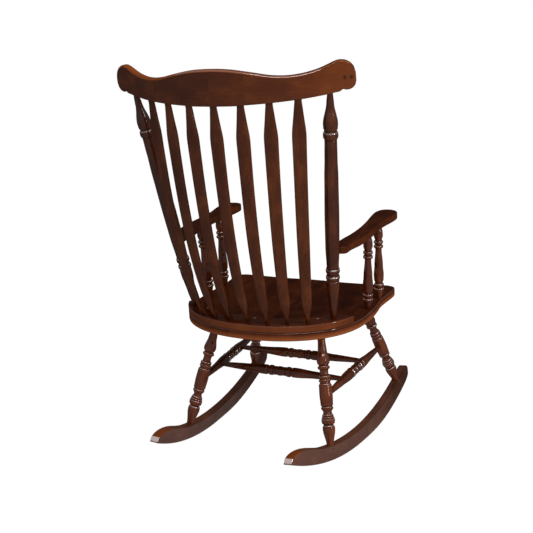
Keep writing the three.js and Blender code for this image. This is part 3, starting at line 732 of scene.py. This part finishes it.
rim = rear_rim(seat_half_width, seat_rear_reach, np.linspace(0, math.pi / 2, rim_steps))
rim[-1, 0] = 0.0
side_points = np.array(seat_side_shares) * (seat_half_width, seat_front - seat_rear_centre)
side_points += (0.0, seat_rear_centre)
half_outline = np.concatenate([[[0.0, seat_front]], side_points[::-1], rim])
seat_outline = np.concatenate([half_outline, half_outline[-2:0:-1] * (-1, 1)])
seat_outline = smooth_loop(seat_outline, seat_points)
seat_local = board_rings(seat_outline, seat_thickness, seat_ease, seat_hub, seat_spokes, dish)
seat_rings = seat_middle + seat_local @ seat_axes
seat_grain = seat_local[..., [0, 2, 1]] + seat_log
plank_wood = wood(
    "plank_wood", (0.014, 0.0024, 0.0008), (0.052, 0.0095, 0.0022), (0.16, 0.036, 0.0075),
    board_width, board_contrast=board_contrast, worn_or_lit=(0.34, 0.1, 0.034),
)
under_top = -seat_local[..., 2]
on_rim = (under_top > dish_depth + rim_margin) & (under_top < seat_thickness - rim_margin)
seat_lacquer = np.full(seat_local.shape[:2], seat_lacquer_top)
seat_lacquer[seat_spokes + 1:seat_spokes + 4] = seat_lacquer_edge
seat = skin("shaped_seat", seat_rings, seat_grain, np.where(on_rim, rim_rub, 0.0), seat_lacquer)
dress(seat, plank_wood, "seat_plank")

# The cleat is a second layer that follows the seat's rear rim and gives the back posts and slats
# their depth of hole. It is glued and screwed down, with its screws under wooden plugs.
cleat_thickness = 20 * mm
cleat_inner_half_width = 222 * mm
cleat_inner_reach = 168 * mm
cleat_front = 58 * mm
cleat_ease = 2.5 * mm
cleat_gap = 0.3 * mm
cleat_steps = 221
cleat_pith = 60 * mm
cleat_end_rub = 0.45
cleat_middle_rub = 1.2
cleat_top_painted_shade = 0.6
cleat_top_start = 0.8
cleat_face_start = 0.5
cleat_arris_start = 0.25
cleat_lacquer_plain = 0.015
cleat_lacquer_edge = 0.07


def cleat_line(half_width, reach):
    """A line along the seat's rear from one front end of the cleat to the other, toward +x."""
    start = math.asin(((cleat_front - seat_rear_centre) / reach) ** (rim_power / 2))
    return rear_rim(half_width, reach, np.linspace(math.pi - start, start, cleat_steps))


outer = cleat_line(seat_half_width, seat_rear_reach)
inner = cleat_line(cleat_inner_half_width, cleat_inner_reach)
middle = (outer + inner) / 2
outward = unit(outer - inner)
band_half = np.linalg.norm(outer - inner, axis=1) / 2
low = np.full(cleat_steps, cleat_gap)
high = low + cleat_thickness
across, rise = rounded_section(band_half, low, high, cleat_ease, cleat_ease)
across = -across
flat = middle[:, None] + outward[:, None] * across[..., None]
cleat_local = np.concatenate([flat, rise[..., None]], axis=-1)
walked = walked_lengths(middle)
cleat_grain = as_points(across, rise + cleat_pith, walked[:, None])
cleat_wood = wood(
    "cleat_wood", (0.022, 0.0038, 0.001), (0.08, 0.016, 0.0034), (0.18, 0.043, 0.009),
    worn_or_lit=(0.26, 0.072, 0.02),
)
up_the_edge = 1 + (rise - high[:, None]) / cleat_ease
out_on_face = 1 + (across - band_half[:, None]) / cleat_ease
from_end = np.sin(math.pi * walked / walked[-1])[:, None]
face_rub = cleat_end_rub + (cleat_middle_rub - cleat_end_rub) * from_end
# The cleat's top is darkened: painted shade.
top_painted_shading = np.where(up_the_edge > cleat_top_start, -cleat_top_painted_shade, 0.0)
cleat_wear_and_painted_shade = np.where(out_on_face > cleat_face_start, face_rub, top_painted_shading)
on_arris = np.minimum(up_the_edge, out_on_face) > cleat_arris_start
cleat_lacquer = np.where(on_arris, cleat_lacquer_edge, cleat_lacquer_plain)
cleat_rings = seat_middle + cleat_local @ seat_axes
cleat = skin("rear_cleat", cleat_rings, cleat_grain, cleat_wear_and_painted_shade, cleat_lacquer)
dress(cleat, cleat_wood, "seat_cleat")

# The arm posts are short turnings with a pair of beads near each end and a swelling between.
# They are glued into the seat below and into the arm above.
arm_post_overrun = 5 * mm
arm_post_pith = (3 * mm, 6 * mm)
arm_post_blank = 0.33
arm_post_log = 5.2
arm_post_coat = (0.038, 0.28)
arm_post_story = [
    6.4, ("ease", 16, 10.6), ("ease", 24, 12.4), ("line", 25, 12.0), ("line", 25.8, 13.0),
    ("bead", 34.4, 13.0, 2.4), ("line", 35.2, 11.6), ("line", 38.2, 11.6), ("line", 39, 13.0),
    ("bead", 48.4, 12.8, 2.4), ("line", 49.4, 11.6), ("ease", 60, 14.6), ("ease", 74, 15.2),
    ("ease", 104, 13.0), ("ease", 152, 9.6), ("line", 156, 9.8), ("line", 156.8, 11.6),
    ("bead", 165.8, 11.8, 2.8), ("line", 166.6, 10.4), ("line", 169.4, 10.4), ("line", 170.2, 11.6),
    ("bead", 179.2, 11.6, 2.8), ("line", 180.2, 10.4), ("ease", 194, 13.8), ("ease", 206, 13.2),
    ("ease", 224, 9.2),
]

for number, corner in enumerate(corners):
    post = turned_stick(
        f"turned_arm_post_{corner}", arm_post_ends[corner], arm_post_story, arm_post_overrun,
        (*arm_post_pith, arm_post_log + arm_post_blank * number), arm_post_coat,
    )
    dress(post, turned_wood, f"arm_post_{corner}")

# The arms are flat boards, waisted in the middle and rounded wide at the front, with all edges
# softened. Each drops a little to the rear, where it is let in round the back post.
arm_thickness = 21 * mm
arm_rear = 158 * mm
arm_length = 412 * mm
arm_centre = 268 * mm
arm_half_width = 35 * mm
arm_ease = 4 * mm
arm_post_top_front = -138 * mm
arm_points = 240
arm_pith = (25 * mm, 40 * mm)
arm_blank = 0.9

# Shares of the half width to the inner (-) and outer (+) side, share of the length from the rear
arm_shares = [
    (-0.9, 0.0), (-0.88, 0.06), (-0.87, 0.15), (-0.66, 0.3), (-0.6, 0.4), (-0.62, 0.52),
    (-0.74, 0.66), (-0.93, 0.8), (-1.0, 0.88), (-0.92, 0.945), (-0.64, 0.986), (-0.2, 1.0),
    (0.3, 0.996), (0.74, 0.97), (0.96, 0.925), (1.0, 0.87), (0.92, 0.8), (0.74, 0.7),
    (0.65, 0.58), (0.74, 0.46), (0.78, 0.34), (0.66, 0.2), (0.4, 0.1), (0.2, 0.0),
]

arm_axes, arm_middle = board_frame(
    arm_post_ends["front_left"][1], arm_post_ends["rear_left"][1], arm_post_top_front
)
arm_middle += arm_thickness * arm_axes[2]
arm_wood = wood(
    "arm_wood", (0.02, 0.0042, 0.0014), (0.058, 0.0125, 0.0034), (0.14, 0.036, 0.009),
    lacquer=0.009,
)
arm_outline = np.array(arm_shares) * (arm_half_width, -arm_length) + (0.0, arm_rear)
arm_outline = smooth_loop(arm_outline, arm_points)
arm_hub = (0.0, arm_rear - arm_length / 2)
arm_local = board_rings(arm_outline, arm_thickness, arm_ease, arm_hub)[:, ::-1]
for side, sign in (("left", 1), ("right", -1)):
    grain = arm_local[..., [0, 2, 1]] + (*arm_pith, arm_blank * sign)
    placed = (arm_local + (arm_centre, 0.0, 0.0)) * (sign, 1, 1)
    rings = arm_middle + placed @ arm_axes
    arm = skin(f"shaped_arm_{side}", rings[:, ::sign], grain[:, ::sign])
    dress(arm, arm_wood, f"arm_{side}")

# The back posts are long turnings with rings near both ends and a spear head under the crest.
# They stand through the cleat in the seat, and the arms are screwed to them from behind.
post_tenons = (36 * mm, 26 * mm)
post_overrun = 12 * mm
post_pith = (6 * mm, 4 * mm)
post_blank = 0.8
post_log = 7.3
post_coat = (0.034, 0.4)
post_story = [
    8.2, ("ease", 57, 12.9), ("line", 92, 16.0), ("dome", 122, 18.0), ("dome", 126.6, 16.6),
    ("line", 128.2, 16.2), ("line", 129, 16.8), ("bead", 142, 16.8, 2.9), ("line", 143, 16.2),
    ("line", 148, 16.2), ("line", 149, 16.8), ("bead", 164.4, 16.8, 2.9), ("line", 165.2, 16.4),
    ("line", 167, 17.0), ("ease", 232, 19.4), ("ease", 316, 19.9), ("ease", 430, 18.8),
    ("ease", 489, 17.1), ("ease", 539, 16.4), ("line", 540.6, 15.8), ("line", 542, 16.8),
    ("bead", 562, 16.8, 3.3), ("line", 563, 16.2), ("line", 566, 16.2), ("dome", 574, 19.0),
    ("ease", 582, 19.5), ("ease", 639, 9.9), ("line", 663, 7.4),
]

post_wood = wood(
    "post_wood", (0.015, 0.0026, 0.0007), (0.045, 0.0085, 0.0018), (0.115, 0.028, 0.0053)
)
post_ends = {}
for number, side in enumerate(["left", "right"]):
    post_ends[side] = shoulders(f"back_post_{side}", post_tenons)
    post = turned_stick(
        f"turned_back_post_{side}", post_ends[side], post_story, post_overrun,
        (*post_pith, post_log + post_blank * number), post_coat,
    )
    dress(post, post_wood, f"back_post_{side}")

# The crest rail is steam-bent from a thick board: dipped under its middle, swept up at both ears
# and leaning back. The posts and slats stop in holes in its underside.
crest_depth = 92 * mm
crest_half_length = 350 * mm
crest_thickness = 20 * mm
crest_bend = 122 * mm
crest_rake = 0.25
crest_ease = 3.2 * mm
crest_top_ease = 5.5 * mm
post_crest_x = 287.5 * mm
crest_ear_start = 0.86
crest_steps = 96
crest_ear_steps = 44
crest_corner_steps = 6
crest_pith = (4 * mm, 30 * mm)
crest_lift_share = 0.35
stave_length = 94 * mm
stave_contrast = 0.18
crest_knots = [(88 * mm, 12 * mm), (88 * mm, 28 * mm)]

# Over one half the top is painted lighter, and the near ear a little lighter all round: painted
# light.
# An arris of the top is painted lighter as a painted highlight, with more lacquer along its rear
# side.
crest_top_light_range = (-150 * mm, 50 * mm)
crest_painted_top_light = 3.2
crest_top_start = 0.25
ear_painted_light_range = (160 * mm, 320 * mm)
crest_ear_painted_light = 0.85
arris_range = (-340 * mm, 100 * mm)
crest_arris_painted_highlight = 2.2
crest_arris_start = 0.45
arris_shine_start = -270 * mm
crest_lacquer_plain = 0.023
crest_lacquer_arris = 0.22

# Share of the half length, then shares of the depth at the middle for the low and high edges
crest_shares = np.array([
    (0, 0, 1), (0.085, 0.003, 0.995), (0.17, 0.01, 0.973), (0.26, 0.035, 0.928),
    (0.35, 0.062, 0.878), (0.43, 0.09, 0.83), (0.5, 0.122, 0.812), (0.57, 0.158, 0.82),
    (0.64, 0.2, 0.86), (0.7, 0.243, 0.918), (0.76, 0.292, 1.0), (0.82, 0.345, 1.11),
    (0.86, 0.385, 1.19), (0.89, 0.418, 1.232), (0.905, 0.465, 1.24), (0.93, 0.458, 1.235),
    (0.955, 0.475, 1.2), (0.978, 0.53, 1.13), (0.993, 0.61, 1.03), (1, 0.7, 0.92),
])
crest_bend_shares = np.array([
    (0, 0), (0.11, 0.013), (0.22, 0.052), (0.33, 0.118), (0.43, 0.203), (0.53, 0.317),
    (0.62, 0.442), (0.7, 0.571), (0.77, 0.69), (0.83, 0.785), (0.89, 0.866), (0.95, 0.94), (1, 1),
])


def crest_row(x):
    """The crest's low edge, high edge and forward bend at distances x from its middle."""
    share = np.minimum(np.abs(x) / crest_half_length, 1.0)
    places, lows, highs = crest_shares.T
    return [
        crest_depth * smooth_values(places, lows, share, True),
        crest_depth * smooth_values(places, highs, share, True),
        crest_bend * smooth_values(*crest_bend_shares.T, share, True),
    ]


post_low, _, post_bend = crest_row(np.array([post_crest_x]))
post_head = post_ends["left"][1]
crest_height = post_head[2] - post_low[0]
crest_setback = post_head[1] + post_bend[0] - crest_rake * post_low[0]

inner_shares = np.linspace(0, crest_ear_start, crest_steps)[:-1]
ear_shares = np.linspace(crest_ear_start, 1, crest_ear_steps)
half = crest_half_length * np.concatenate([inner_shares, ear_shares])
x = np.concatenate([-half[:0:-1], half])
low, high, bend = crest_row(x)
ahead = as_points(1.0, np.gradient(-bend, x), 0.0)
thick_way = unit(np.cross((0.0, crest_rake, 1.0), ahead))
across, rise = rounded_section(
    crest_thickness / 2, low, high, crest_top_ease, crest_ease, crest_corner_steps
)
sideways = x[:, None]
rail_middle = as_points(
    sideways, crest_setback - bend[:, None] + crest_rake * rise, crest_height + rise
)
crest_rings = rail_middle + across[..., None] * thick_way[:, None]
crest_grain = as_points(
    across + crest_pith[0], rise - crest_lift_share * low[:, None] + crest_pith[1],
    walked_lengths(np.stack([x, bend], axis=-1))[:, None],
)
crest_wood = wood(
    "crest_wood", (0.028, 0.0055, 0.0014), (0.068, 0.0145, 0.003), (0.18, 0.044, 0.0075),
    stave_length, 2, stave_contrast, crest_knots, worn_or_lit=(0.34, 0.08, 0.011),
)
up_the_edge = 1 + (rise - high[:, None]) / crest_top_ease
out_on_face = 1 + (np.abs(across) - crest_thickness / 2) / crest_top_ease
on_arris = np.minimum(up_the_edge, out_on_face) > crest_arris_start
on_arris &= (sideways > arris_range[0]) & (sideways < arris_range[1])
# Painted light on the top and the near ear, and a painted highlight along the arris
top_painted_shading = crest_painted_top_light * ramp(sideways, *crest_top_light_range)
ear_painted_light = crest_ear_painted_light * ramp(-sideways, *ear_painted_light_range)
crest_painted_light = np.where(up_the_edge > crest_top_start, top_painted_shading, ear_painted_light)
crest_painted_light = np.where(on_arris, crest_arris_painted_highlight, crest_painted_light)
shiny = on_arris & (across > 0) & (sideways > arris_shine_start)
crest_lacquer = np.where(shiny, crest_lacquer_arris, crest_lacquer_plain)
crest = skin("bent_crest", crest_rings, crest_grain, crest_painted_light, crest_lacquer)
dress(crest, crest_wood, "crest_rail")

# The seven back slats are arrows: nearly round where they enter the cleat and the crest, flat
# and wide between, with a shoulder near the top. Each is steam-bent back to the sitter's spine.
slat_tenons = (14 * mm, 24 * mm)
slat_collar = 7 * mm
slat_half_width = 18.8 * mm
slat_half_thickness = 5.5 * mm
slat_end = 6.3 * mm
slat_neck = 9.6 * mm
slat_bow = 28 * mm
slat_bow_share = 0.75
slat_neck_start = 0.86
slat_middle_share = 0.2
slat_thinning = 1.7
slat_squareness = 1.6
slat_overrun = 8 * mm
slat_steps = 190
slat_sides = 40
slat_pith = (12 * mm, 8 * mm)
slat_blank = 0.61
slat_shares = np.array([
    (0, 0), (0.03, 0.02), (0.065, 0.34), (0.095, 0.58), (0.12, 0.65), (0.2, 0.735), (0.32, 0.815),
    (0.42, 0.87), (0.5, 0.89), (0.68, 0.93), (0.83, 0.985), (0.86, 1.0), (0.885, 0.94),
    (0.92, 0.7), (0.96, 0.36), (1, 0),
])

slat_wood = wood(
    "slat_wood", (0.022, 0.0042, 0.0012), (0.066, 0.0145, 0.0032), (0.14, 0.036, 0.008),
    lacquer=plain_lacquer,
)

for number in range(1, 8):
    node = f"back_slat_{number}"
    foot, head = shoulders(node, slat_tenons)
    length = np.linalg.norm(head - foot)
    points = node_points(node)
    off_middle = np.abs((points - (foot + head) / 2) @ (head - foot)) / length
    middle = points[off_middle < slat_middle_share * length].mean(axis=0)
    axes = stick_axes(foot, head, middle - foot)
    level = np.linspace(0, 1, slat_steps)
    flat = np.clip(smooth_values(*slat_shares.T, level, True), 0, 1)
    bow = slat_bow * np.sin(math.pi * level ** slat_bow_share)
    height = slat_collar + level * (length - 2 * slat_collar)
    neck_share = eased(ramp(level, slat_neck_start, 1))
    end_width = slat_end + (slat_neck - slat_end) * neck_share
    half_width = end_width + flat * (slat_half_width - end_width)
    thin_share = np.minimum(1, slat_thinning * flat)
    half_thick = slat_end + thin_share * (slat_half_thickness - slat_end)
    height = np.concatenate([[-slat_overrun], height, [length + slat_overrun]])
    bow = np.pad(bow, 1)[:, None]
    half_width = np.pad(half_width, 1, mode="edge")[:, None]
    half_thick = np.pad(half_thick, 1, mode="edge")[:, None]
    flatness = (half_width - slat_end) / (slat_half_width - slat_end)
    power = 2 / (2 + slat_squareness * flatness)
    cosine, sine = np.cos(full_turn(slat_sides)), np.sin(full_turn(slat_sides))
    local = as_points(
        half_width * signed_power(cosine, power), half_thick * signed_power(sine, power) + bow,
        height[:, None],
    )
    grain = local + (*slat_pith, slat_blank * number)
    slat = skin(f"arrow_slat_{number}", foot + local @ axes, grain)
    dress(slat, slat_wood, node)

# Wooden plugs cover the screws: one in each back post behind the arm, and three in the cleat.
# They are cut across the grain and pared off nearly flush, so their crowns catch the light; their
# wood is coloured much lighter than the rest, partly its own tone and partly a painted glint.
plug_story = [
    4.2, ("line", 0.9, 4.8), ("line", 6.4, 4.8), ("dome", 7.0, 4.3), ("ease", 7.6, 2.6),
    ("line", 7.8, 0.4),
]
plug_sides = 24
plug_pith = (2 * mm, 3 * mm)
plug_blank = 0.2
plug_wood = wood(
    "plug_wood", (0.12, 0.036, 0.012), (0.3, 0.11, 0.035), (0.42, 0.18, 0.065), lacquer=0.15
)
plug_names = ["post_plug_left", "post_plug_right"]
plug_names += [f"cleat_plug_{place}" for place in ("left", "middle", "right")]
for number, name in enumerate(plug_names):
    points = node_points(name)
    if name.startswith("post"):
        foot, head = post_ends[name.split("_")[-1]]
        along = unit(head - foot)
        offset = points.mean(axis=0) - foot
        out = unit(offset - (offset @ along) * along)
    else:
        out = seat_axes[2]
    depth = points @ out
    top = points[depth.argmax()]
    bottom = top - out * (depth.max() - depth.min())
    plug_place = (*plug_pith, plug_blank * number)
    plug = turned_stick(
        f"wood_{name}", (bottom, top), plug_story, 0.0, plug_place, sides=plug_sides
    )
    dress(plug, plug_wood, name)

# The chair stands on a plain pale floor, a wide disc of paper whose shadow stays faint.
floor_radius = 12.0
floor_sides = 96
paper = (0.82, 0.82, 0.82, 1.0)
paper_glow = 0.9
white_near = 1.083
white_far = 1.125
white_range = (0.6, 2.0)
turn = full_turn(floor_sides)
rim = as_points(floor_radius * np.cos(turn), floor_radius * np.sin(turn), 0.0)
floor_mesh = bpy.data.meshes.new("studio_floor")
floor_mesh.from_pydata(rim.tolist(), [], [list(range(floor_sides))])
floor = shown("studio_floor", floor_mesh)


def background_share(begin):
    """1 where the camera, a gloss or clear glass sees a surface, and 0 where it only lights."""
    camera, gloss, clear = (
        begin.add("ShaderNodeLightPath", {}, {}, output=ray) for ray in (0, 3, 6)
    )
    return begin.maths("MINIMUM", camera + gloss + clear, 1.0)


floor_material = bpy.data.materials.new("studio_floor")
begin = cleared(floor_material)
seen = background_share(begin)
paint = begin.add("ShaderNodeBsdfDiffuse", {}, {"Color": paper})
away = begin.add("ShaderNodeTexCoord", {}, {}, output=3).length()
strength = away.between(*white_range) * (white_far - white_near) + white_near
white = begin.add("ShaderNodeEmission", {}, {"Strength": strength})
mixed = begin.add("ShaderNodeMixShader", {}, {0: seen * paper_glow, 1: paint, 2: white})
begin.add("ShaderNodeOutputMaterial", {}, {"Surface": mixed})
floor_mesh.materials.append(floor_material)

# Soft studio light: a pale world all round that the camera and a gloss see as white, a long key
# box high behind the camera, one box on the right, and softer fills that light the legs, the
# left side and the front.
world_level = 0.13
world = bpy.data.worlds.new("studio")
bpy.context.scene.world = world
begin = cleared(world)
glow = background_share(begin) * (1.0 - world_level) + world_level
sky = begin.add("ShaderNodeBackground", {}, {"Color": (1.0, 1.0, 1.0, 1.0), "Strength": glow})
begin.add("ShaderNodeOutputWorld", {}, {"Surface": sky})


def light_box(name, place, target, width, height, power, colour, gloss):
    """A rectangular soft box that faces a point, seen in glosses or not."""
    data = bpy.data.lights.new(name, "AREA")
    data.shape = "RECTANGLE"
    data.size, data.size_y = width, height
    data.energy = power
    data.color = colour
    lamp = shown(name, data)
    lamp.visible_camera = False
    lamp.visible_glossy = gloss
    lamp.location = place
    aim = Vector(target) - Vector(place)
    lamp.rotation_euler = aim.to_track_quat("-Z", "Y").to_euler()


pink, white = (1.0, 0.95, 0.94), (1.0, 1.0, 1.0)
light_box("key_box", (-1.22, 1.74, 2.5), (0, 0, 0.55), 2.4, 0.2, 36.0, pink, True)
light_box("side_box", (-2.9, 0.8, 1.4), (0, 0, 0.5), 0.3, 1.2, 38.0, white, True)
light_box("leg_fill", (-0.8, 1.4, 0.3), (0.05, 0.1, 0.15), 0.7, 0.35, 4.5, white, False)
light_box("left_fill", (2.6, -1.0, 1.0), (0, 0, 0.5), 1.0, 1.2, 24.0, white, False)
light_box("front_fill", (0.6, -2.6, 1.0), (0, 0, 0.5), 1.2, 1.2, 38.0, white, False)

# The camera looks from behind the sitter's right shoulder, a little above the arms.
camera_heading = math.radians(25.338)
camera_dip = math.radians(9.109)
camera_place = np.array([-1.20386, 2.60567, 0.9934])
focal_pixels = 971.36
picture_pixels = 533
camera_data = bpy.data.cameras.new("photo_camera")
camera_data.lens = camera_data.sensor_width * focal_pixels / picture_pixels
camera_data.clip_end = 60.0
camera = shown("photo_camera", camera_data)
camera_place[1] += (rocker_stand["left"][1] + rocker_stand["right"][1]) / 2
camera.location = camera_place
camera.rotation_euler = (math.pi / 2 - camera_dip, 0.0, math.pi + camera_heading)
bpy.context.scene.camera = camera
bpy.context.scene.view_settings.view_transform = "Standard"
